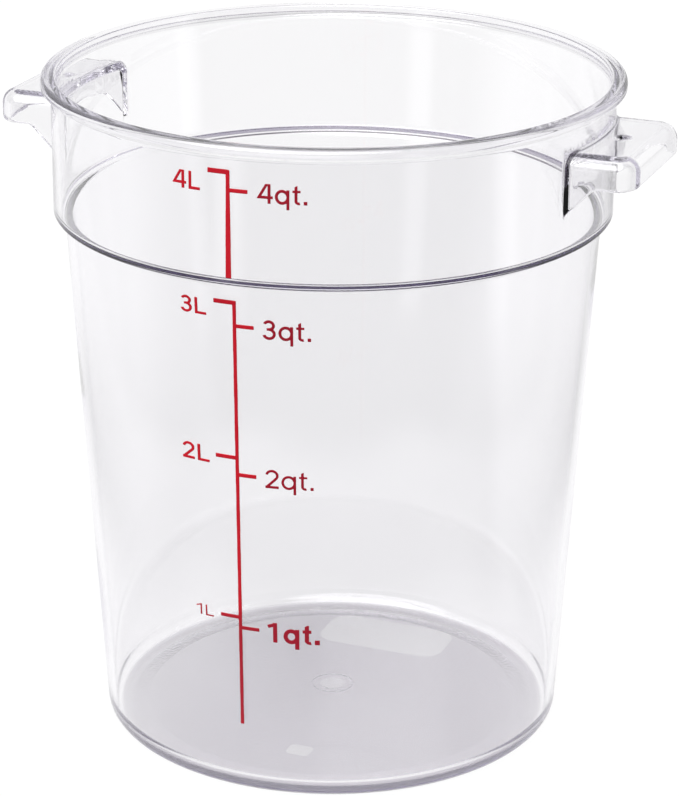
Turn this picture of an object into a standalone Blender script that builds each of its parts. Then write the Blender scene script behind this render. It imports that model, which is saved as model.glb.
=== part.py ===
"""A round clear food storage container.

The vessel is one turned profile: a flared rim, a near upright collar, a shoulder step, a tapered wall, a rounded
foot and a recessed underside. Each of the two handles is a hollow ledge moulded onto the collar and open below,
with a plate on top, a flange on each side and a lip at its end. The fill scale is printed as two thin films.
"""

import math

import bmesh
import bpy
from mathutils import Matrix

# Overall form
container_height = 0.2150
collar_radius = 0.0879
wall = 0.0024
turn_steps = 72
arc_step = math.radians(24)

# Rim, which flares out of the collar
rim_overhang = 0.0031
rim_radius = collar_radius + rim_overhang
rim_outer_round = 0.0010
rim_land = 0.0028
rim_flare_height = 0.0026
rim_flare_round = 0.0016
rim_face = 0.0046
rim_inner_round = 0.0017
rim_inner_flare_height = 0.0055
rim_inner_flare_round = 0.0080

# Collar and shoulder step
collar_height = 0.0430
shoulder_height = container_height - collar_height
shoulder_edge_round = 0.0010
shoulder_drop = 0.0013
shoulder_root_round = 0.0016
shoulder_inner_rise = 0.0026
shoulder_inner_drop = 0.0012
shoulder_inner_round = 0.0010
shoulder_inner_edge_round = 0.0014

# Tapered wall, which runs from under the shoulder to the foot
shoulder_ledge = 0.00345
body_taper = 0.01055
body_top_radius = collar_radius - shoulder_ledge
body_foot_radius = body_top_radius - body_taper
foot_round = 0.0054

# Floor and underside
floor_height = 0.0033
floor_round = 0.0028
foot_ring_width = 0.0050
foot_recess = 0.0010
foot_recess_round = 0.0006
gate_radius = 0.0075
gate_depth = 0.0005

# Handles, which hang below the rim and reach out from the collar
handle_drop = 0.0113
handle_length = 0.0174
handle_top = container_height - handle_drop
handle_reach = collar_radius + handle_length
handle_half_width = 0.0256
handle_wall = 0.0023
handle_corner_round = 0.0068
handle_end_round = 0.0050
handle_side_round = 0.0020
handle_lip_round = 0.0020
handle_root_round = 0.0026
handle_lip = 0.0100
gusset_run = 0.0051
gusset_drop = 0.0189
handle_bottom = handle_top - handle_lip
gusset_start = collar_radius + gusset_run
gusset_foot_height = handle_top - gusset_drop
drain_radius = 0.0019
drain_offset = 0.0061
drain_place = collar_radius + drain_offset

# Printed scale
print_gap = 0.0003
print_thickness = 0.0003
print_side = 0.0027
upper_stem_drop = 0.0082
upper_stem_rise = 0.0022
upper_stem_top = container_height - upper_stem_drop
upper_stem_foot = shoulder_height + upper_stem_rise
upper_stem_top_width = 0.0011
upper_stem_foot_width = 0.0019
lower_stem_drop = 0.0059
lower_stem_foot = 0.0245
lower_stem_top = shoulder_height - lower_stem_drop
lower_stem_width = 0.0011
lower_stem_lean = 0.0020
tick_height = 0.0008
left_tick = 0.0068
right_tick = 0.0061

# Heights of the fill marks: the top two below the rim, the others as shares of the shoulder height
four_litre_drop = 0.0086
four_quart_drop = 0.0141
four_litre = container_height - four_litre_drop
four_quart = container_height - four_quart_drop
three_litre = 0.9634 * shoulder_height
three_quart = 0.9198 * shoulder_height
two_litre = 0.6715 * shoulder_height
two_quart = 0.6395 * shoulder_height
one_litre = 0.3593 * shoulder_height
one_quart = 0.3390 * shoulder_height

# One overrun lets every cutter pass clear through what it cuts
overrun = 0.0040
weld_distance = 0.00001


def body_radius(height):
    """Outer radius of the tapered wall at a height."""
    rise = (body_top_radius - body_foot_radius) / shoulder_height
    return body_foot_radius + rise * height


def rounded(corners):
    """The polyline through the corners (x, y, radius), each turned with a tangent arc of its radius."""
    points = []
    last = len(corners) - 1
    for index, (x, y, radius) in enumerate(corners):
        if radius == 0:
            points.append((x, y))
            continue
        before = corners[index - 1]
        after = corners[0 if index == last else index + 1]
        ax, ay = before[0] - x, before[1] - y
        bx, by = after[0] - x, after[1] - y
        a_length = math.hypot(ax, ay)
        b_length = math.hypot(bx, by)
        ax, ay, bx, by = ax / a_length, ay / a_length, bx / b_length, by / b_length
        half = math.acos(max(-1, min(1, ax * bx + ay * by))) / 2
        reach = radius / math.tan(half)
        mx, my = ax + bx, ay + by
        m_length = math.hypot(mx, my)
        cx = x + mx / m_length * radius / math.sin(half)
        cy = y + my / m_length * radius / math.sin(half)
        start = math.atan2(y + ay * reach - cy, x + ax * reach - cx)
        sweep = math.pi - 2 * half
        turn = 1 if ax * by - ay * bx < 0 else -1
        count = max(2, math.ceil(sweep / arc_step))
        for step in range(count + 1):
            angle = start + turn * sweep * step / count
            points.append((cx + radius * math.cos(angle), cy + radius * math.sin(angle)))
    return points


def vessel_profile():
    """The section (radius, height) from the middle of the floor up the inside, over the rim and down the outside."""
    inner_collar = collar_radius - wall
    inner_rim = rim_radius - rim_face
    step_height = shoulder_height + shoulder_inner_rise
    edge_height = step_height - shoulder_inner_drop
    flare_height = container_height - rim_land - rim_flare_height
    root_height = shoulder_height - shoulder_drop
    ring_inner = body_foot_radius - foot_round - foot_ring_width
    return rounded([
        (0, floor_height, 0),
        (body_radius(floor_height) - wall, floor_height, floor_round),
        (body_radius(edge_height) - wall, edge_height, shoulder_inner_edge_round),
        (inner_collar, step_height, shoulder_inner_round),
        (inner_collar, container_height - rim_inner_flare_height, rim_inner_flare_round),
        (inner_rim, container_height, rim_inner_round),
        (rim_radius, container_height, rim_outer_round),
        (rim_radius, container_height - rim_land, rim_flare_round),
        (collar_radius, flare_height, rim_flare_round),
        (collar_radius, shoulder_height, shoulder_edge_round),
        (body_radius(root_height), root_height, shoulder_root_round),
        (body_foot_radius, 0, foot_round),
        (ring_inner, 0, foot_recess_round),
        (ring_inner - foot_recess, foot_recess, foot_recess_round),
        (gate_radius, foot_recess, 0),
        (gate_radius, foot_recess + gate_depth, 0),
        (0, foot_recess + gate_depth, 0),
    ])


def film_profile(top, foot, radius_at):
    """The closed section of a thin film that stands off a wall by the print gap, between two heights."""
    near = print_gap
    far = print_gap + print_thickness
    return [
        (radius_at(top) + near, top),
        (radius_at(top) + far, top),
        (radius_at(foot) + far, foot),
        (radius_at(foot) + near, foot),
    ]


def handle_plan(inset):
    """The handle from above as (x, y), drawn in from its outer faces by the inset. Its inner end lies in the wall."""
    half = handle_half_width - inset
    reach = handle_reach - inset
    corner = handle_corner_round - inset
    inner_end = collar_radius - wall - half
    return rounded([
        (inner_end, -half, 0),
        (reach, -half, corner),
        (reach, half, corner),
        (inner_end, half, 0),
    ])


def handle_side():
    """The handle's outer form from the side as (x, z), with the rounded end, the level bottom and the gusset."""
    slope = (handle_bottom - gusset_foot_height) / (gusset_start - gusset_foot())
    inner_end = collar_radius - wall - handle_half_width
    return rounded([
        (inner_end, handle_top, 0),
        (handle_reach, handle_top, handle_end_round),
        (handle_reach, handle_bottom, handle_lip_round),
        (gusset_start, handle_bottom, 0),
        (inner_end, handle_bottom - slope * (gusset_start - inner_end), 0),
    ])


def gusset_foot():
    """Distance from the middle plane at which a flange's outer face meets the collar."""
    return math.sqrt(collar_radius**2 - handle_half_width**2)


def root_profile():
    """The section of the blend between the plate and the collar. Its two ends lean into the wall and into the plate."""
    inner = collar_radius - wall
    reach = 4 * handle_root_round
    seat = handle_top - handle_wall / 2
    return rounded([
        (inner, handle_top + reach, 0),
        (collar_radius, handle_top, handle_root_round),
        (collar_radius + reach, seat, 0),
        (inner, seat, 0),
    ])


def pocket_side():
    """The hollow under the plate from the side as (x, z)."""
    inner_end = collar_radius - wall - handle_half_width
    below = gusset_foot_height - handle_half_width
    return rounded([
        (inner_end, handle_top - handle_wall, 0),
        (handle_reach - handle_wall, handle_top - handle_wall, handle_end_round - handle_wall),
        (handle_reach - handle_wall, below, 0),
        (inner_end, below, 0),
    ])


def comb(stem, ticks):
    """The outline (x, z) of a stem with ticks. The stem is two (middle, half width, height) ends, top first."""
    (top_x, top_half, top_z), (foot_x, foot_half, foot_z) = stem

    def side_at(height, side):
        share = (top_z - height) / (top_z - foot_z)
        middle = top_x + (foot_x - top_x) * share
        return middle + side * (top_half + (foot_half - top_half) * share)

    outline = [(side_at(foot_z, -1), foot_z)]
    for height, length in sorted((t for t in ticks if t[1] < 0), key=lambda t: t[0]):
        low, high = height - tick_height / 2, height + tick_height / 2
        outline.append((side_at(low, -1), low))
        outline.append((side_at(low, -1) + length, low))
        outline.append((side_at(low, -1) + length, high))
        outline.append((side_at(high, -1), high))
    if outline[-1][1] < top_z:
        outline.append((side_at(top_z, -1), top_z))
    outline.append((side_at(top_z, 1), top_z))
    for height, length in sorted((t for t in ticks if t[1] > 0), key=lambda t: -t[0]):
        low, high = height - tick_height / 2, height + tick_height / 2
        outline.append((side_at(high, 1), high))
        outline.append((side_at(high, 1) + length, high))
        outline.append((side_at(high, 1) + length, low))
        outline.append((side_at(low, 1), low))
    outline.append((side_at(foot_z, 1), foot_z))
    return outline


def clear_scene():
    for old in list(bpy.data.objects):
        bpy.data.objects.remove(old, do_unlink=True)


def new_collection(name):
    made = bpy.data.collections.new(name)
    bpy.context.scene.collection.children.link(made)
    return made


def new_material(name, color, roughness, metallic, transmission, ior):
    material = bpy.data.materials.new(name)
    material.use_nodes = True
    shader = material.node_tree.nodes["Principled BSDF"]
    shader.inputs["Base Color"].default_value = (*color, 1)
    shader.inputs["Roughness"].default_value = roughness
    shader.inputs["Metallic"].default_value = metallic
    shader.inputs["Transmission Weight"].default_value = transmission
    shader.inputs["IOR"].default_value = ior
    return material


def turned(name, profile, closed, collection):
    """An object whose profile (radius, height) is turned about the Z axis by a Screw modifier."""
    mesh = bpy.data.meshes.new(name)
    build = bmesh.new()
    points = [build.verts.new((radius, 0, height)) for radius, height in profile]
    for first, second in zip(points, points[1:]):
        build.edges.new((first, second))
    if closed:
        build.edges.new((points[-1], points[0]))
    build.to_mesh(mesh)
    build.free()
    made = bpy.data.objects.new(name, mesh)
    collection.objects.link(made)
    screw = made.modifiers.new("Turn", "SCREW")
    screw.axis = "Z"
    screw.steps = turn_steps
    screw.render_steps = turn_steps
    screw.use_merge_vertices = True
    screw.merge_threshold = weld_distance
    screw.use_smooth_shade = True
    return made


def thickened(name, outline, half_depth, matrix, collection):
    """A closed outline thickened both ways along its normal as a 2D curve, then made a welded mesh."""
    data = bpy.data.curves.new(name, "CURVE")
    data.dimensions = "2D"
    data.fill_mode = "BOTH"
    data.extrude = half_depth
    spline = data.splines.new("POLY")
    spline.points.add(len(outline) - 1)
    for point, (x, y) in zip(spline.points, outline):
        point.co = (x, y, 0, 1)
    spline.use_cyclic_u = True
    guide = bpy.data.objects.new(name, data)
    collection.objects.link(guide)
    bpy.context.view_layer.update()
    graph = bpy.context.evaluated_depsgraph_get()
    mesh = bpy.data.meshes.new_from_object(guide.evaluated_get(graph))
    bpy.data.objects.remove(guide, do_unlink=True)
    build = bmesh.new()
    build.from_mesh(mesh)
    bmesh.ops.remove_doubles(build, verts=build.verts, dist=weld_distance)
    bmesh.ops.recalc_face_normals(build, faces=build.faces)
    build.to_mesh(mesh)
    build.free()
    made = bpy.data.objects.new(name, mesh)
    made.matrix_world = matrix
    collection.objects.link(made)
    return made


def cylinder(name, radius, steps, foot, top, place, collection):
    """An upright cylinder between two heights, its axis at a distance along X from the middle."""
    mesh = bpy.data.meshes.new(name)
    build = bmesh.new()
    bmesh.ops.create_cone(
        build, cap_ends=True, segments=steps, radius1=radius, radius2=radius, depth=top - foot
    )
    build.to_mesh(mesh)
    build.free()
    made = bpy.data.objects.new(name, mesh)
    made.location = (place, 0, (foot + top) / 2)
    collection.objects.link(made)
    return made


def round_top(made, half_depth, width):
    """Rounds the edge loop round the top of an upright thickened outline."""
    build = bmesh.new()
    build.from_mesh(made.data)
    edges = [
        edge
        for edge in build.edges
        if all(vert.co.z > half_depth - weld_distance for vert in edge.verts)
        and edge.calc_face_angle() > math.radians(60)
    ]
    steps = math.ceil(math.radians(90) / arc_step)
    bmesh.ops.bevel(build, geom=edges, offset=width, segments=steps, profile=0.5, affect="EDGES")
    build.to_mesh(made.data)
    build.free()


def combine(target, other, operation):
    boolean = target.modifiers.new(operation.title() + " " + other.name, "BOOLEAN")
    boolean.operation = operation
    boolean.solver = "EXACT"
    boolean.object = other


def as_helper(made):
    made.hide_render = True
    made.display_type = "WIRE"


def shade(made, material):
    """Keeps the evaluated shape as the object's own mesh, shaded smooth except over sharp edges."""
    bpy.context.view_layer.update()
    graph = bpy.context.evaluated_depsgraph_get()
    mesh = bpy.data.meshes.new_from_object(made.evaluated_get(graph))
    made.modifiers.clear()
    made.data = mesh
    mesh.materials.clear()
    mesh.materials.append(material)
    mesh.shade_smooth()
    mesh.set_sharp_from_angle(angle=math.radians(35))


def handle(name, side, collection):
    """A hollow moulded ledge. The side is 1 for the handle at +X and -1 for the one at -X."""
    facing = Matrix.Rotation(0 if side > 0 else math.pi, 4, "Z")
    upright = Matrix.Rotation(math.pi / 2, 4, "X")
    depth = handle_top - gusset_foot_height + handle_half_width
    low = handle_top - depth
    level = facing @ Matrix.Translation((0, 0, (handle_top + low) / 2))
    outer = thickened(name, handle_plan(0), depth / 2, level, collection)
    round_top(outer, depth / 2, handle_side_round)
    span = handle_half_width + overrun
    side_form = thickened(name + "_side_form", handle_side(), span, facing @ upright, collection)
    pocket = thickened(name + "_pocket", handle_plan(handle_wall), depth / 2, level, collection)
    pocket_form = thickened(
        name + "_pocket_form", pocket_side(), span, facing @ upright, collection
    )
    wall_middle = collar_radius - wall / 2
    high = container_height + overrun
    bore = cylinder(name + "_bore", wall_middle, turn_steps, low - overrun, high, 0, collection)
    drain = cylinder(
        name + "_drain", drain_radius, turn_steps // 6, handle_bottom, handle_top + overrun,
        side * drain_place, collection
    )
    root = turned(name + "_root", root_profile(), True, collection)
    root_plan = thickened(
        name + "_root_plan", handle_plan(handle_side_round), depth, level, collection
    )
    combine(outer, side_form, "INTERSECT")
    combine(pocket, pocket_form, "INTERSECT")
    combine(outer, pocket, "DIFFERENCE")
    combine(root, root_plan, "INTERSECT")
    combine(outer, root, "UNION")
    combine(outer, bore, "DIFFERENCE")
    combine(outer, drain, "DIFFERENCE")
    for made in (outer, side_form, pocket, pocket_form, root, root_plan, bore, drain):
        as_helper(made)
    return outer


def print_film(name, stem, ticks, radius_at, material, parts, cutters):
    """One film of the printed scale: a turned film that keeps only what lies in front of the outline."""
    reach = overrun + tick_height
    film = turned(name, film_profile(stem[0][2] + reach, stem[1][2] - reach, radius_at), True, parts)
    in_front = Matrix.Translation((0, -collar_radius, 0)) @ Matrix.Rotation(math.pi / 2, 4, "X")
    outline = thickened(name + "_outline", comb(stem, ticks), collar_radius / 2, in_front, cutters)
    combine(film, outline, "INTERSECT")
    as_helper(outline)
    shade(film, material)


def build_container():
    clear_scene()
    parts = new_collection("food_storage_container")
    cutters = new_collection("container_cutters")
    clear_plastic = new_material("clear_plastic", (0.93, 0.93, 0.95), 0.03, 0, 0.95, 1.585)
    print_upper = new_material("scale_ink_upper", (0.68, 0.01, 0.03), 0.45, 0, 0, 1.45)
    print_lower = new_material("scale_ink_lower", (0.43, 0.01, 0.03), 0.45, 0, 0, 1.45)

    body = turned("container_body", vessel_profile(), False, parts)
    for name, side in (("handle_right", 1), ("handle_left", -1)):
        combine(body, handle(name, side, cutters), "UNION")
    shade(body, clear_plastic)

    print_film(
        "scale_print_upper",
        (
            (print_side, upper_stem_top_width / 2, upper_stem_top),
            (print_side, upper_stem_foot_width / 2, upper_stem_foot),
        ),
        ((four_litre, -left_tick), (four_quart, right_tick)),
        lambda height: collar_radius,
        print_upper,
        parts,
        cutters,
    )
    print_film(
        "scale_print_lower",
        (
            (print_side, lower_stem_width / 2, lower_stem_top),
            (print_side - lower_stem_lean, lower_stem_width / 2, lower_stem_foot),
        ),
        (
            (three_litre, -left_tick),
            (three_quart, right_tick),
            (two_litre, -left_tick),
            (two_quart, right_tick),
            (one_litre, -left_tick),
            (one_quart, right_tick),
        ),
        body_radius,
        print_lower,
        parts,
        cutters,
    )


build_container()
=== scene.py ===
"""A round clear food storage container on a pale floor: the vessel with its moulded handles, and its
printed scale."""
import math

import bpy
import numpy as np
from mathutils import Matrix


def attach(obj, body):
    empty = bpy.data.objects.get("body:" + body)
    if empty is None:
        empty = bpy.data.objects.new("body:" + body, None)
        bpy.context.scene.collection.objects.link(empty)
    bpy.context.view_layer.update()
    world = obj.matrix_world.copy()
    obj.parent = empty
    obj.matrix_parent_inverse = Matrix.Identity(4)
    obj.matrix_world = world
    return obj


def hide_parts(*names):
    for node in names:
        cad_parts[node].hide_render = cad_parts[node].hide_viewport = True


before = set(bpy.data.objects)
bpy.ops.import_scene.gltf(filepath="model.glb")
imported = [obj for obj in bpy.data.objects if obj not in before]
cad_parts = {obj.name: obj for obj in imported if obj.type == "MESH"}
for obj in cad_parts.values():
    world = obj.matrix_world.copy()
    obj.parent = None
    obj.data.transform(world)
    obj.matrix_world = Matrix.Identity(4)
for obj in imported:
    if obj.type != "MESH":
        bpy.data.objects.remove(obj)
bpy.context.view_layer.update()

# Sizes in metres
height = 0.2150
collar_radius = 0.0879
wall = 0.0024
collar_wall = 0.0021
rim_radius = 0.0910
rim_land = 0.0028
rim_lean = 0.0003
rim_face = 0.0048
shoulder = 0.1720
step_rise = 0.0010
step_fall = 0.0009
shoulder_fall = 0.0011
body_top_radius = 0.08445
body_foot_radius = 0.0739
floor_height = 0.0033
foot_ring_outer = 0.0662
foot_ring_inner = 0.0606
recess = 0.0006
handle_top = 0.2037
handle_reach = 0.1053
handle_half = 0.0256
handle_wall = 0.0023
handle_bottom = 0.1937
gusset_start = 0.0930
gusset_foot = 0.1848
drain_radius = 0.0019
drain_place = 0.0940
film_thickness = 0.00025
film_gap = 0.00002
MM = 0.001

# Roundings of a handle's edges and roots, in millimetres
plan_corner = 6.8
top_edge = 4.6
pocket_edge = 2.4
gusset_edge = 1.0
foot_edge = 0.6
lip_edge = 1.2
mouth_edge = 0.45
drain_edge = 0.4
root_fillet = 0.6
root_rise = 1.6
root_sink = 0.12
root_reach = 4.2

# How finely the shapes are cut: the lathe's steps and arcs, and the cubes of the handles, signs and lines
turn_steps = 240
arc_step = math.radians(7.5)
handle_cell = 0.55
sign_cell = 0.022
line_cell = 0.2

swing, yaw, pitch, roll = (math.radians(a) for a in (21.95, 0.132, 20.5956, 0.2744))


# Shapes

def body_radius(z):
    """Outer radius of the tapered wall: a straight line from the foot to the shoulder."""
    return body_foot_radius + (body_top_radius - body_foot_radius) * z / shoulder


def graded(length, first=0.0003, growth=2.6, most=0.020):
    """Shares of a straight run at which points go: close together at both ends, and wider apart towards the
    middle."""
    steps = first * growth ** np.arange(12)
    steps = np.minimum(steps, most)
    ends = np.cumsum(steps)
    ends = ends[ends < length / 2 - first / 2]
    reached = ends[-1] if len(ends) else 0
    middle = length - 2 * reached
    count = max(1, math.ceil(middle / most))
    inner = reached + middle * np.arange(1, count) / count
    return np.concatenate([ends, inner, length - ends[::-1]]) / length


def rounded_profile(corners):
    """An open line (radius, height) through corners, where each corner is a tangent arc: centre plus radius
    times the cosine and sine of evenly spread angles. The straight runs between the arcs are cut at graded
    shares."""
    pieces = [np.array([corners[0][:2]])]
    for before, (x, y, radius), after in zip(corners, corners[1:], corners[2:]):
        corner = np.array([x, y])
        a = np.array(before[:2]) - corner
        b = np.array(after[:2]) - corner
        a, b = a / np.hypot(*a), b / np.hypot(*b)
        half = math.acos(float(np.clip(a @ b, -1, 1))) / 2
        reach = radius / math.tan(half)
        middle = corner + (a + b) / np.hypot(*(a + b)) * radius / math.sin(half)
        start = math.atan2(*(corner + a * reach - middle)[::-1])
        sweep = math.pi - 2 * half
        turn = 1 if a[0] * b[1] - a[1] * b[0] < 0 else -1
        angles = start + turn * np.linspace(0, sweep, max(3, math.ceil(sweep / arc_step)) + 1)
        pieces.append(middle + radius * np.stack([np.cos(angles), np.sin(angles)], 1))
    pieces.append(np.array([corners[-1][:2]]))
    line = [pieces[0]]
    for one, other in zip(pieces, pieces[1:]):
        run = other[0] - one[-1]
        line.append(one[-1] + graded(float(np.hypot(*run)))[:, None] * run)
        line.append(other)
    return np.concatenate(line)


def vessel_profile():
    """The section from the middle of the floor up the inside, over the rim and down the outside to the
    underside. Each corner is its radius, its height and its rounding."""
    inner_collar = collar_radius - collar_wall
    step = shoulder + step_rise
    edge = step - step_fall
    root = shoulder - shoulder_fall
    return rounded_profile([
        (0, floor_height, 0),
        (body_radius(floor_height) - wall, floor_height, 0.0046),
        (body_radius(edge) - wall, edge, 0.0015),
        (inner_collar, step, 0.0014),
        (rim_radius - rim_face, height, 0.0009),
        (rim_radius, height, 0.0018),
        (rim_radius, height - rim_land, 0.0004),
        (collar_radius, height - rim_land - rim_lean, 0.0023),
        (collar_radius, shoulder + 0.0001, 0.0006),
        (body_radius(root), root, 0.0016),
        (body_foot_radius, 0, 0.0054),
        (foot_ring_outer, 0, 0.0060),
        (foot_ring_inner, recess, 0.0060),
        (0, recess, 0),
    ])


def turned(profile, steps):
    """The profile turned about Z: each point (r, z) goes to (r cos t, r sin t, z) for every angle t. The
    two ends lie on the axis, where one point closes each end with a fan."""
    turn = np.linspace(0, 2 * math.pi, steps, endpoint=False)
    ring = profile[1:-1]
    r, z = ring[:, :1], ring[:, 1:]
    grid = np.stack([r * np.cos(turn), r * np.sin(turn), z + 0 * turn], -1).reshape(-1, 3)
    points = np.concatenate([grid, [[0, 0, profile[0, 1]], [0, 0, profile[-1, 1]]]])
    i, j = np.meshgrid(np.arange(len(ring) - 1), np.arange(steps), indexing="ij")
    k = (j + 1) % steps
    squares = np.stack([i * steps + j, (i + 1) * steps + j, (i + 1) * steps + k, i * steps + k], -1)
    j, k = np.arange(steps), (np.arange(steps) + 1) % steps
    last = (len(ring) - 1) * steps
    first_fan = np.stack([j, k, np.full(steps, len(grid))], -1)
    last_fan = np.stack([last + k, last + j, np.full(steps, len(grid) + 1)], -1)
    return points, squares.reshape(-1, 4).tolist() + first_fan.tolist() + last_fan.tolist()


def cut_round(a, b, radius):
    """Depth inside both of two forms whose shared edge is rounded: the root of the squares of a + radius
    and b + radius, less the radius, where both are near the edge, and else the larger of a and b."""
    u, v = np.maximum(a + radius, 0), np.maximum(b + radius, 0)
    return np.minimum(np.maximum(a, b), -radius) + np.hypot(u, v)


def join_round(a, b, radius):
    """Depth inside either of two forms with a fillet between them, which is cut_round turned inside out."""
    return -cut_round(-a, -b, radius)


def plan_depth(x, y, inset, corner):
    """Distance from the handle's outline from above, a box with two rounded corners, and how far it faces
    the end."""
    u = x - (handle_reach / MM - inset) + corner
    v = np.abs(y) - (handle_half / MM - inset) + corner
    outside = np.hypot(np.maximum(u, 0), np.maximum(v, 0))
    facing = np.maximum(u, 0) / np.maximum(outside, 1e-9)
    facing = np.where((u <= 0) & (v <= 0), (u > v) * 1.0, facing)
    return outside + np.minimum(np.maximum(u, v), 0) - corner, facing


def handle_depth(p):
    """Depth of a point (x, y, z), in millimetres, inside one handle, less than zero inside. The outline
    from above is cut off at the plate's top, at the lip's foot and along the gusset, all with rounded
    edges. The pocket, the same outline drawn in by the wall, and the drain are taken out. A fillet joins
    the rest to the collar."""
    x, y, z = p[..., 0], p[..., 1], p[..., 2]
    top, low, thick = handle_top / MM, handle_bottom / MM, handle_wall / MM
    plan, facing = plan_depth(x, y, 0, plan_corner)
    outer = cut_round(plan, z - top, top_edge)
    foot_x = math.sqrt((collar_radius / MM) ** 2 - (handle_half / MM) ** 2)
    rise = (low - gusset_foot / MM) / (gusset_start / MM - foot_x)
    gusset = (gusset_foot / MM + rise * (x - foot_x) - z) / math.hypot(1, rise)
    outer = cut_round(outer, join_round(low - z, gusset, gusset_edge), foot_edge + lip_edge * facing ** 2)
    pocket_plan = plan_depth(x, y, thick, plan_corner - thick)[0]
    pocket = cut_round(pocket_plan, z - (top - thick), pocket_edge)
    shell = cut_round(outer, -pocket, mouth_edge)
    drain = drain_radius / MM - np.hypot(x - drain_place / MM, y)
    shell = cut_round(shell, drain, drain_edge)
    collar = np.hypot(x, y) - (collar_radius / MM - root_sink)
    fillet = root_fillet + root_fillet * np.clip((z - top + root_rise) / root_rise, 0, 1)
    joined = join_round(shell, collar, fillet)
    inner = (collar_radius - collar_wall / 2) / MM - np.hypot(x, y)
    return np.maximum(np.maximum(joined, inner), shell - root_reach)


def slope(field, p, reach=0.01):
    """The field's slope at each point, from its values a small reach to each side along each axis."""
    axes = np.eye(3) * reach
    return np.stack([(field(p + a) - field(p - a)) / (2 * reach) for a in axes], -1)


def skin(field, low, high, cell, slides=4, least_tilt=0.2):
    """The surface where the field is zero, worked out on a grid of cubes. Each cube that it crosses gets
    one point, the mean of the crossings on the cube's edges, and each grid edge that it crosses gets one
    square between the four cubes round it. Each point then slides along the field's slope until the field
    is zero."""
    axes = [np.arange(a, b + cell, cell) for a, b in zip(low, high)]
    grid = np.stack(np.meshgrid(*axes, indexing="ij"), -1)
    value = field(grid)
    inside = value < 0
    cells = tuple(len(a) - 1 for a in axes)
    total, count = np.zeros(cells + (3,)), np.zeros(cells)
    squares = []
    crossings = []
    for axis in range(3):
        near = [slice(None)] * 3
        far = [slice(None)] * 3
        near[axis], far[axis] = slice(None, -1), slice(1, None)
        near, far = tuple(near), tuple(far)
        crossing = inside[near] != inside[far]
        share = value[near] / np.where(crossing, value[near] - value[far], 1)
        point = grid[near] + 0
        point[..., axis] += np.where(crossing, share, 0) * cell
        point *= crossing[..., None]
        u, v = (axis + 1) % 3, (axis + 2) % 3
        for du in (0, 1):
            for dv in (0, 1):
                cut = [slice(None)] * 3
                cut[u], cut[v] = slice(du, du + cells[u]), slice(dv, dv + cells[v])
                total += point[tuple(cut)]
                count += crossing[tuple(cut)]
        crossings.append((axis, u, v, crossing, inside[near]))
    index = np.full(cells, -1)
    index[count > 0] = np.arange(int((count > 0).sum()))
    for axis, u, v, crossing, starts_inside in crossings:
        cut = [slice(None)] * 3
        cut[u], cut[v] = slice(1, cells[u]), slice(1, cells[v])
        place = np.argwhere(crossing[tuple(cut)])
        outward = starts_inside[tuple(cut)][tuple(place.T)]
        place[:, u] += 1
        place[:, v] += 1
        ring = []
        for du, dv in ((1, 1), (0, 1), (0, 0), (1, 0)):
            at = place.copy()
            at[:, u] -= du
            at[:, v] -= dv
            ring.append(index[tuple(at.T)])
        ring = np.stack(ring, 1)
        squares.append(np.where(outward[:, None], ring, ring[:, ::-1]))
    points = total[count > 0] / count[count > 0][:, None]
    for _ in range(slides):
        tilt = slope(field, points)
        step = field(points)[:, None] * tilt / np.maximum((tilt ** 2).sum(1), least_tilt)[:, None]
        points = points - np.clip(step, -cell / 2, cell / 2)
    return points, np.concatenate(squares).tolist()


def mesh_object(name, points, faces):
    """A named object at the origin that holds these points, in metres, and faces, shaded smooth."""
    mesh = bpy.data.meshes.new(name)
    mesh.from_pydata(np.asarray(points).tolist(), [], faces)
    mesh.shade_smooth()
    made = bpy.data.objects.new(name, mesh)
    bpy.context.scene.collection.objects.link(made)
    return made


def united(body, others):
    """The body joined to the others as one solid, kept as the body's own mesh."""
    for other in others:
        step = body.modifiers.new("Join " + other.name, "BOOLEAN")
        step.operation = "UNION"
        step.solver = "EXACT"
        step.object = other
    bpy.context.view_layer.update()
    mesh = bpy.data.meshes.new_from_object(body.evaluated_get(bpy.context.evaluated_depsgraph_get()))
    body.modifiers.clear()
    body.data = mesh
    for other in others:
        bpy.data.objects.remove(other, do_unlink=True)
    return body


vessel = mesh_object("vessel", *turned(vessel_profile(), turn_steps))
low_corner = (82.0, -30.0, 176.0)
high_corner = (106.5, 30.0, 210.0)
handle_points, handle_faces = skin(handle_depth, low_corner, high_corner, handle_cell)
handle_right = mesh_object("handle_right", handle_points * MM, handle_faces)
handle_left = mesh_object("handle_left", handle_points * (-MM, -MM, MM), handle_faces)
united(vessel, [handle_right, handle_left])
vessel.data.shade_smooth()
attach(vessel, "root")
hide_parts("container_body")


# Materials

class Socket:
    """A socket, or a number, that adds Math nodes when it is used in sums."""

    def __init__(self, build, value):
        self.build, self.value = build, value

    def math(self, operation, *others):
        """A Math node on this value and any others."""
        values = [o.value if isinstance(o, Socket) else o for o in (self, *others)]
        return self.build.node("ShaderNodeMath", {"operation": operation}, *values)

    def __add__(self, other):
        return self.math("ADD", other)

    def __radd__(self, other):
        return Socket(self.build, other).math("ADD", self)

    def __sub__(self, other):
        return self.math("SUBTRACT", other)

    def __rsub__(self, other):
        return Socket(self.build, other).math("SUBTRACT", self)

    def __mul__(self, other):
        return self.math("MULTIPLY", other)

    def __rmul__(self, other):
        return Socket(self.build, other).math("MULTIPLY", self)

    def __truediv__(self, other):
        return self.math("DIVIDE", other)

    def __rtruediv__(self, other):
        return Socket(self.build, other).math("DIVIDE", self)

    def __pow__(self, other):
        return self.math("POWER", other)

    def __neg__(self):
        return self.math("MULTIPLY", -1)

    def __abs__(self):
        return self.math("ABSOLUTE")

    def most(self, other):
        return self.math("MAXIMUM", other)


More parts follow.
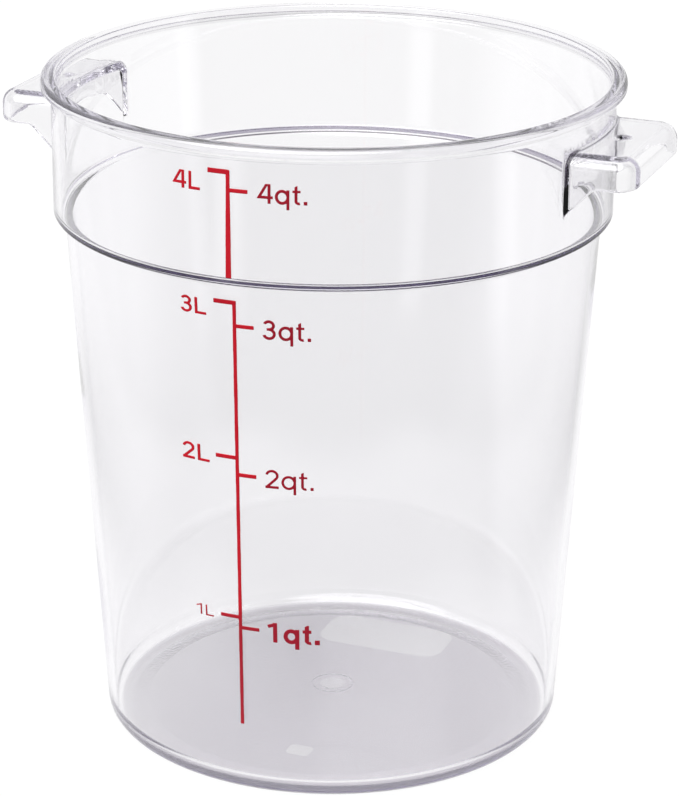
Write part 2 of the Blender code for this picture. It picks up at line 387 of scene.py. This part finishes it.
class Finish:
    """A material, or the world, and its nodes."""

    def __init__(self, owner):
        owner.use_nodes = True
        self.tree = owner.node_tree
        self.owner = owner
        self.tree.nodes.clear()

    def node(self, kind, settings=None, *values, output=0, **named):
        """A node of any kind. Its settings are set first, then its sockets get values or links, by number
        or by name, and the wrapped output comes back."""
        made = self.tree.nodes.new(kind)
        for name, value in (settings or {}).items():
            setattr(made, name, value)
        for key, value in [*enumerate(values), *named.items()]:
            key = int(key) if str(key).isdigit() else key.replace("_", " ")
            value = value.value if isinstance(value, Socket) else value
            if isinstance(value, bpy.types.NodeSocket):
                self.tree.links.new(value, made.inputs[key])
            elif value is not None:
                made.inputs[key].default_value = value
        return Socket(self, made.outputs[output]) if len(made.outputs) else made

    def along(self, place):
        """How far a place or direction lies towards the back, away from the photograph's side."""
        heading = (-math.sin(swing), math.cos(swing), 0)
        return self.node("ShaderNodeVectorMath", {"operation": "DOT_PRODUCT"}, place, heading, output=1)

    def across(self, place):
        """How far a place or direction lies to the right, from the photograph's side."""
        heading = (math.cos(swing), math.sin(swing), 0)
        return self.node("ShaderNodeVectorMath", {"operation": "DOT_PRODUCT"}, place, heading, output=1)

    def mix(self, one, other, share):
        """One colour turning into the other by a share."""
        named = {"0": share, "6": one, "7": other}
        return self.node("ShaderNodeMix", {"data_type": "RGBA"}, output=2, **named)

    def ramp(self, value, low, high):
        """A smooth rise from 0 at the low value to 1 at the high one."""
        return self.node("ShaderNodeMapRange", {"interpolation_type": "SMOOTHSTEP"}, value, low, high, 0, 1)

    def band(self, value, middle, half, soft):
        """1 close to the middle value, falling smoothly to 0 at half its width away over a soft edge."""
        return self.ramp(half - abs(value - middle), 0, soft)

    def noise(self, place, scale, detail, roughness):
        """Even noise from 0 to 1."""
        return self.node("ShaderNodeTexNoise", None, place, Scale=scale, Detail=detail, Roughness=roughness)


def radial(u, v):
    """Distance of (u, v) from the middle."""
    return (u * u + v * v) ** 0.5


def patch(x, y, middle_x, middle_y, half_x, half_y, corner):
    """1 inside a box with rounded corners and 0 outside it, with a soft edge 0.8 mm wide."""
    u = (abs(x - middle_x) - (half_x - corner)).most(0)
    v = (abs(y - middle_y) - (half_y - corner)).most(0)
    return x.build.ramp(corner - radial(u, v), 0, 0.0008)


def root_line(build, x, y, z, radius):
    """Painted shade: a dark line painted at the root of the right handle's front flange. It follows the
    flange up and round the plate's rounded edge."""
    rounding = top_edge * MM
    over = (z - (handle_top - rounding)).most(0)
    beside = (rounding - handle_half - y).most(0)
    line = build.band(radius, 0.0883, 0.00062, 0.0003)
    line = line * build.band(radial(over, beside), rounding, 0.0007, 0.0004)
    return line * build.ramp(x, 0, 0.01) * build.ramp(-y, 0.0170, 0.0200) * build.ramp(z, 0.1835, 0.1850)


def step_lines(build, place, z, radius):
    """Painted shade on the inner step's face, mostly at the back, and a thin painted dark line below it, at
    the back and the front."""
    inner = build.ramp(0.0863 - radius, 0, 0.0003)
    far = build.ramp(build.along(place) + 0.3 * build.across(place), 0.035, 0.065)
    near = build.ramp(-build.along(place), 0.0, 0.03)
    face = build.band(z, 0.1726, 0.0008, 0.0003) * build.ramp(radius, 0.0832, 0.0837) * inner
    edge = build.band(z, 0.17198, 0.00030, 0.00016) * inner * far.most(near)
    return face * (0.95 * far + 0.25 * near), edge


def vessel_finish():
    """Clear plastic with a faint lilac cast and a slow ripple from moulding. The underside is rough, and its
    darker lilac-grey tone inside the foot is painted shade, made lighter to the left and the back by painted
    light. It has two frosted patches, and a ring and a shallow well where the plastic was let in. Painted
    shade also darkens the tint where the surface is seen edge-on, on the inner step's face and a thin line
    below it, in a line at the root of the right handle's front flange, and in a ring round the drain hole."""
    build = Finish(bpy.data.materials.new("clear_plastic_moulded"))
    place = build.node("ShaderNodeTexCoord", None, output=3)
    x, y, z = (build.node("ShaderNodeSeparateXYZ", None, place, output=i) for i in range(3))
    radius = radial(x, y)
    under = build.ramp(0.0016 - z, 0, 0.0007) * build.ramp(0.0728 - radius, 0, 0.0024)
    large_patch = patch(x, y, 0.0015, 0.0473, 0.0228, 0.0116, 0.0070)
    small_patch = patch(x, y, 0.0069, -0.0442, 0.0043, 0.0037, 0.0022)
    frost = large_patch.most(small_patch)
    gate = radial(x + 0.0017, y - 0.0053)
    well = build.ramp(0.0046 - gate, 0, 0.0010)
    lip = build.band(gate, 0.0068, 0.0006, 0.0006)
    cloud = build.noise(place, 60, 3, 0.55)
    grit = build.noise(place, 900, 2, 0.6)
    # Painted light: the underside's tone turns lighter towards the left and the back
    painted_light_left_back = build.ramp(0.4 * build.along(place) - build.across(place), 0.010, 0.080)
    # Painted shade: the underside's dark lilac-grey tone stands in for the shade under the vessel; the
    # frosted patches, the well and the ring round it are the plastic's own
    matte_with_painted_shade_and_light = build.mix((0.50, 0.46, 0.53, 1), (0.56, 0.53, 0.59, 1), cloud)
    matte_with_painted_shade_and_light = build.mix(matte_with_painted_shade_and_light, (0.72, 0.70, 0.74, 1), painted_light_left_back * 0.6)
    matte_with_painted_shade_and_light = build.mix(matte_with_painted_shade_and_light, (0.86, 0.85, 0.87, 1), (frost * (0.80 + 0.2 * grit)).most(well * 0.45))
    matte_with_painted_shade_and_light = build.mix(matte_with_painted_shade_and_light, (0.40, 0.37, 0.45, 1), lip * 0.5)
    clear = build.mix((0.975, 0.972, 0.980, 1), (0.985, 0.983, 0.988, 1), cloud)
    # Painted shade: the clear tint darkens where the surface is seen edge-on
    painted_edge_on_shade = build.ramp(build.node("ShaderNodeLayerWeight", None, Blend=0.5, output=1), 0.78, 0.98)
    clear = build.mix(clear, (0.78, 0.76, 0.81, 1), painted_edge_on_shade)
    # Painted shade on the inner step's face, and a painted dark line below the step
    face, edge = step_lines(build, place, z, radius)
    # Painted shade: a dark ring round the top of the drain hole
    drain = build.ramp(0.0024 - radial(x - drain_place, y), 0, 0.0004)
    drain = drain * 0.6 * build.ramp(z, 0.200, 0.201)
    # Painted shade: dark lines at the flange root, under the step and round the drain hole
    painted_dark_lines = root_line(build, x, y, z, radius).most(edge).most(drain)
    # Painted shade: the step's face and the dark lines darken the clear tint
    clear = build.mix(clear, (0.12, 0.10, 0.17, 1), face)
    clear = build.mix(clear, (0.05, 0.04, 0.06, 1), painted_dark_lines)
    color = build.mix(clear, matte_with_painted_shade_and_light, under)
    rough = under * (0.34 + 0.10 * cloud + 0.10 * frost)
    relief = build.noise(place, 16, 1, 0.4) + 0.5 * under * (grit + lip - well)
    bump = build.node("ShaderNodeBump", None, Strength=1.0, Distance=0.00012, Height=relief)
    surface = build.node(
        "ShaderNodeBsdfPrincipled", None, Base_Color=color, Roughness=rough, IOR=1.585,
        Transmission_Weight=1.0, Normal=bump,
    )
    inside = build.node("ShaderNodeVolumeAbsorption", None, (0.58, 0.54, 0.68, 1), 17.0)
    build.node("ShaderNodeOutputMaterial", None, surface, inside)
    return build.owner


def ink_finish(name, thin, thick, foot):
    """Printed ink: its red varies a little with the film's thickness and turns to the foot colour near the
    floor. Its sheen varies with the screen's fine grain."""
    build = Finish(bpy.data.materials.new(name))
    place = build.node("ShaderNodeTexCoord", None, output=3)
    z = build.node("ShaderNodeSeparateXYZ", None, place, output=2)
    cloud = build.noise(place, 220, 3, 0.6)
    grain = build.noise(place, 2600, 2, 0.6)
    color = build.mix((*thin, 1), (*thick, 1), cloud * 0.7 + grain * 0.3)
    color = build.mix(color, (*foot, 1), build.ramp(0.067 - z, 0, 0.008))
    bump = build.node("ShaderNodeBump", None, Strength=0.4, Distance=0.00003, Height=grain)
    surface = build.node(
        "ShaderNodeBsdfPrincipled", None, Base_Color=color, Roughness=0.36 + 0.16 * grain, Normal=bump,
        Specular_IOR_Level=0.25,
    )
    build.node("ShaderNodeOutputMaterial", None, surface)
    return build.owner


vessel.data.materials.clear()
vessel.data.materials.append(vessel_finish())
line_ink = ink_finish(
    "scale_ink_bright", thin=(0.575, 0.006, 0.022), thick=(0.45, 0.002, 0.010), foot=(0.34, 0.004, 0.016),
)
quart_ink = ink_finish(
    "scale_ink_deep", thin=(0.355, 0.006, 0.024), thick=(0.262, 0.003, 0.012), foot=(0.30, 0.004, 0.018),
)


# Printed scale

def bar(p, start, end, width):
    """Depth inside a straight stroke with square ends: the larger of how far the point is outside it
    sideways and lengthways."""
    run = np.subtract(end, start)
    reach = np.hypot(*run)
    run = run / reach
    u, v = p[..., 0] - start[0], p[..., 1] - start[1]
    across = np.abs(u * run[1] - v * run[0]) - width / 2
    return np.maximum(across, np.abs(u * run[0] + v * run[1] - reach / 2) - reach / 2)


def bow(p, middle, reach, first, last, width):
    """Depth inside a stroke along an ellipse, anticlockwise between two angles in degrees: the distance
    from the ellipse along the ray from its middle, less half the width, cut off at the rays of the two
    angles."""
    u, v = p[..., 0] - middle[0], p[..., 1] - middle[1]
    away = np.maximum(np.hypot(u / reach[0], v / reach[1]), 1e-6)
    stroke = np.abs(np.hypot(u, v) * (1 - 1 / away)) - width / 2
    if last - first >= 360:
        return stroke
    a, b = math.radians(first), math.radians(last)
    before = u * math.sin(a) - v * math.cos(a)
    after = v * math.cos(b) - u * math.sin(b)
    beyond = np.minimum(before, after) if last - first > 180 else np.maximum(before, after)
    return np.maximum(stroke, beyond)


def either(*depths):
    """Depth inside any of several strokes: the least of their depths."""
    return np.minimum.reduce(depths)


def sign_depth(sign, p, w):
    """Depth inside one sign, one unit high, drawn with strokes w wide. The distance that the next sign
    starts after this one comes with it."""
    x, y = p[..., 0], p[..., 1]
    if sign == "1":
        flag = np.maximum(bar(p, (0.55 - w / 2, 1.0 - w * 0.45), (0.12, 0.79), w * 0.85), y - 1)
        return either(bar(p, (0.55 - w / 2, 0), (0.55 - w / 2, 1), w), np.maximum(flag, x - 0.55)), 0.78
    if sign == "2":
        bowl = bow(p, (0.375, 0.70), (0.33 - w / 2, 0.31 - w / 2), -42, 172, w)
        neck = (0.375 + (0.33 - w / 2) * 0.75, 0.70 - (0.31 - w / 2) * 0.66)
        leg = bar(p, neck, (0.10, w * 0.45), w)
        return either(bowl, np.maximum(leg, -y), bar(p, (0.04, w / 2), (0.70, w / 2), w)), 0.78
    if sign == "3":
        middle = 0.535
        top, low = (1.015 - w / 2 - middle) / 2, (middle + 0.015 - w / 2) / 2
        upper = bow(p, (0.37, middle + top), (0.30 - w / 2, top), -90, 160, w)
        lower = bow(p, (0.37, middle - low), (0.335 - w / 2, low), -165, 90, w)
        return either(upper, lower, bar(p, (0.26, middle), (0.38, middle), w * 0.92)), 0.78
    if sign == "4":
        slant = bar(p, (0.56 - w * 0.5, 1.06), (0.0, 0.22), w * 0.92)
        slant = np.maximum(slant, np.maximum(y - 1, 0.235 - y))
        stem = bar(p, (0.56, 0), (0.56, 1), w)
        arm = bar(p, (0.03, 0.235 + w / 2), (0.745, 0.235 + w / 2), w)
        return either(stem, arm, np.maximum(slant, x - 0.56)), 0.79
    if sign == "q":
        bowl = bow(p, (0.415, 0.365), (0.36 - w / 2, 0.38 - w / 2), 0, 360, w)
        return either(bowl, bar(p, (0.775 - w / 2, -0.28), (0.775 - w / 2, 0.735), w)), 0.90
    if sign == "t":
        middle = 0.12 + w / 2
        foot = bow(p, (middle + 0.165, 0.175), (0.165, 0.18 - w / 2), 180, 285, w)
        stem = np.maximum(bar(p, (middle, 0.17), (middle, 0.97), w), y - 0.90 - 0.6 * (x - 0.12))
        arm = bar(p, (0.02, 0.735 - w * 0.42), (0.42, 0.735 - w * 0.42), w * 0.84)
        return either(foot, stem, arm), 0.46
    if sign == "L":
        stem = bar(p, (0.10 + w / 2, 0), (0.10 + w / 2, 1), w)
        return either(stem, bar(p, (0.10, w / 2), (0.74, w / 2), w)), 0.80
    return bar(p, (0.11, w * 0.6), (0.11 + w * 1.2, w * 0.6), w * 1.2), 0.40


def words_depth(words, p, w):
    """Depth inside any of the signs, set one after another."""
    depths, start = [], 0.0
    for sign in words:
        depth, advance = sign_depth(sign, p - (start, 0), w)
        depths.append(depth)
        start += advance
    return either(*depths)


def film(name, depth, low, high, cell, place, ink):
    """A printed film. The flat drawing is made a sheet, where |w| is less than a cell, and place says at
    which angle and height each point (u, v) lies. The point then goes to the wall's radius there, plus a
    share of the film's thickness that grows with w."""
    def sheet(p):
        """Depth inside the drawing and between the sheet's two sides."""
        return np.maximum(depth(p[..., :2]), np.abs(p[..., 2]) - cell)

    points, faces = skin(sheet, (*low, -1.5 * cell), (*high, 1.5 * cell), cell)
    angle, z = place(points[:, 0], points[:, 1])
    radius = np.where(z > shoulder, collar_radius, body_radius(z))
    radius = radius + film_gap + film_thickness * (points[:, 2] / cell + 1) / 2
    made = mesh_object(name, np.stack([radius * np.cos(angle), radius * np.sin(angle), z], 1), faces)
    made.data.materials.append(ink)
    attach(made, "root")
    return made


# Each mark has its signs, its stroke's width, and the angles in degrees and the heights that it spans
for name, words, weight, start, end, low, high in (
    ("mark_4_litres", "4L", 0.155, -100.0, -94.0, 0.19975, 0.20520),
    ("mark_4_quarts", "4qt.", 0.150, -82.5, -72.9, 0.19630, 0.20380),
    ("mark_3_litres", "3L", 0.150, -100.4, -94.4, 0.16030, 0.16560),
    ("mark_3_quarts", "3qt.", 0.145, -82.3, -72.4, 0.15330, 0.16110),
    ("mark_2_litres", "2L", 0.150, -101.8, -95.1, 0.11255, 0.11800),
    ("mark_2_quarts", "2qt.", 0.130, -82.4, -72.0, 0.10510, 0.11290),
    ("mark_1_litre", "1L", 0.110, -100.3, -95.8, 0.06020, 0.06380),
    ("mark_1_quart", "1qt.", 0.195, -82.7, -70.7, 0.05280, 0.06140),
):
    def stretched(u, v):
        """The drawing stretched to fit between two angles and two heights."""
        share = (v - v.min()) / np.ptp(v)
        return np.radians(start + (end - start) * (u - u.min()) / np.ptp(u)), low + (high - low) * share

    film(
        name, lambda p: words_depth(words, p, weight), (-0.06, -0.34), (0.9 * len(words), 1.06), sign_cell,
        stretched, line_ink if end < -90 else quart_ink,
    )


def scale_depth(p, stem, ticks):
    """Depth inside a stem and its ticks, in millimetres: the stem's middle and half width change evenly
    between its two (middle, half width, height) ends, and each tick is a bar that starts in the stem's
    middle."""
    (top_x, top_half, top), (foot_x, foot_half, foot) = stem
    share = (top - p[..., 1]) / (top - foot)
    side = np.abs(p[..., 0] - top_x - (foot_x - top_x) * share) - top_half - (foot_half - top_half) * share
    depths = [np.maximum(side, np.abs(p[..., 1] - (top + foot) / 2) - (top - foot) / 2)]
    for z, reach, thick in ticks:
        middle = top_x + (foot_x - top_x) * (top - z) / (top - foot)
        depths.append(bar(p, (middle, z), (middle + reach, z), thick))
    return either(*depths)


def upright(u, v):
    """The drawing laid on the wall straight from the front, where u is the distance along X."""
    z = v * MM
    return np.arcsin(u * MM / np.where(z > shoulder, collar_radius, body_radius(z))) - math.pi / 2, z


# Each run has its stem's two ends, and its ticks by height, reach to the right and thickness, in millimetres
for name, stem, ticks in (
    ("scale_print_upper", ((2.7, 0.58, 206.9), (2.7, 0.90, 174.2)), (
        (206.30, -6.3, 1.45), (200.9, 6.0, 1.25),
    )),
    ("scale_print_lower", ((2.7, 0.58, 166.15), (0.7, 0.56, 24.5)), (
        (165.5, -6.6, 1.35), (158.2, 6.0, 1.25), (115.5, -7.0, 1.25), (110.0, 6.0, 1.20), (61.8, -6.5, 1.15),
        (58.3, 6.1, 1.20),
    )),
):
    made = film(
        "drawn_" + name, lambda p: scale_depth(p, stem, ticks), (-8.0, stem[1][2] - 0.6),
        (10.6, stem[0][2] + 0.6), line_cell, upright, line_ink,
    )
    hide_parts(name)


# Floor, light and camera

floor_size = 6.0
floor_drop = 0.0001
floor_front, floor_back = 0.20, 0.97
sky_front, sky_back = 0.50, 1.00
sky_low, sky_high = 0.34, 0.60
key_strength, key_height, key_side = 4.0, math.radians(55), math.radians(-30)
key_turn = math.pi - key_side - swing
key_direction = (
    math.cos(key_height) * math.sin(key_turn),
    math.cos(key_height) * math.cos(key_turn),
    math.sin(key_height),
)


def floor_finish():
    """A pale floor that glows. It is even under the vessel and behind it. Out to the front and the sides
    its tone falls away, with one soft brighter ray to the front on each side, so that the clear walls have
    tones to mirror and let through."""
    build = Finish(bpy.data.materials.new("floor_finish"))
    place = build.node("ShaderNodeTexCoord", None, output=3)
    along, side = build.along(place), build.across(place)
    distance = (along * along + side * side + 0.0001) ** 0.5
    turned_to = along / distance
    left_ray = 0.9 * build.band(turned_to, -0.76, 0.10, 0.08) * build.ramp(distance, 0.36, 0.50)
    right_ray = 0.70 * build.band(turned_to, -0.36, 0.13, 0.10) * build.ramp(distance, 0.30, 0.48)
    left_glow = build.ramp(turned_to, -0.55, 0.0) + left_ray
    right_glow = 0.80 * build.ramp(turned_to, -0.45, -0.25) + right_ray
    to_right = build.ramp(side, -0.01, 0.01)
    around = floor_front + (1 - floor_front) * (left_glow + (right_glow - left_glow) * to_right)
    # Painted shade: out to the front and the sides the glow dims close to the vessel
    around = around * (0.48 + 0.52 * build.ramp(distance, 0.12, 0.48))
    even = build.ramp(0.225 + 0.12 * along - abs(side), 0, 0.100) * build.ramp(along, -0.20, -0.085)
    glow = floor_back * (around + (1 - around) * even)
    surface = build.node(
        "ShaderNodeBsdfPrincipled", None, Base_Color=(0.04, 0.04, 0.04, 1), Roughness=0.9,
        Specular_IOR_Level=0.0, Emission_Color=glow, Emission_Strength=1.0,
    )
    build.node("ShaderNodeOutputMaterial", None, surface)
    return build.owner


def studio_light(world):
    """Soft light all round, brighter at the back and above, with one key light high at the front left."""
    build = Finish(world)
    place = build.node("ShaderNodeTexCoord", None, output=3)
    up = build.node("ShaderNodeSeparateXYZ", None, place, output=2)
    to_back = build.ramp(build.along(place), -0.1, 0.5)
    raised = 0.85 + 0.15 * build.ramp(up, sky_low, sky_high)
    facing = build.node(
        "ShaderNodeVectorMath", {"operation": "DOT_PRODUCT"}, place, key_direction, output=1,
    )
    glow = sky_front + (sky_back - sky_front) * to_back * raised
    glow = glow + key_strength * build.ramp(facing, 0.78, 0.90)
    light = build.node("ShaderNodeBackground", None, glow, 1.0)
    build.node("ShaderNodeOutputWorld", None, light)


floor_corners = floor_size * np.array([[-1, -1, 0], [1, -1, 0], [1, 1, 0], [-1, 1, 0]]) - (0, 0, floor_drop)
floor = mesh_object("floor", floor_corners, [[0, 1, 2, 3]])
floor.data.materials.append(floor_finish())

scene = bpy.context.scene
scene.world = bpy.data.worlds.new("studio")
studio_light(scene.world)
scene.view_settings.view_transform = "Standard"
clear_bounces = 48
scene.cycles.max_bounces = clear_bounces
scene.cycles.glossy_bounces = clear_bounces
scene.cycles.transmission_bounces = clear_bounces
scene.cycles.transparent_max_bounces = 16

sensor_width = 36
frame_height = 796
focal_pixels = 3129.54
camera_data = bpy.data.cameras.new("camera")
camera = bpy.data.objects.new("camera", camera_data)
scene.collection.objects.link(camera)
scene.camera = camera
camera_data.sensor_width = sensor_width
camera_data.lens = focal_pixels * sensor_width / frame_height
camera.location = (0.3531, -0.8761, 0.4612)
turn = Matrix.Rotation(swing - yaw, 4, "Z") @ Matrix.Rotation(math.pi / 2 - pitch, 4, "X")
turn = turn @ Matrix.Rotation(roll, 4, "Z")
camera.rotation_euler = turn.to_euler()
camera_data.clip_start, camera_data.clip_end = 0.05, 30
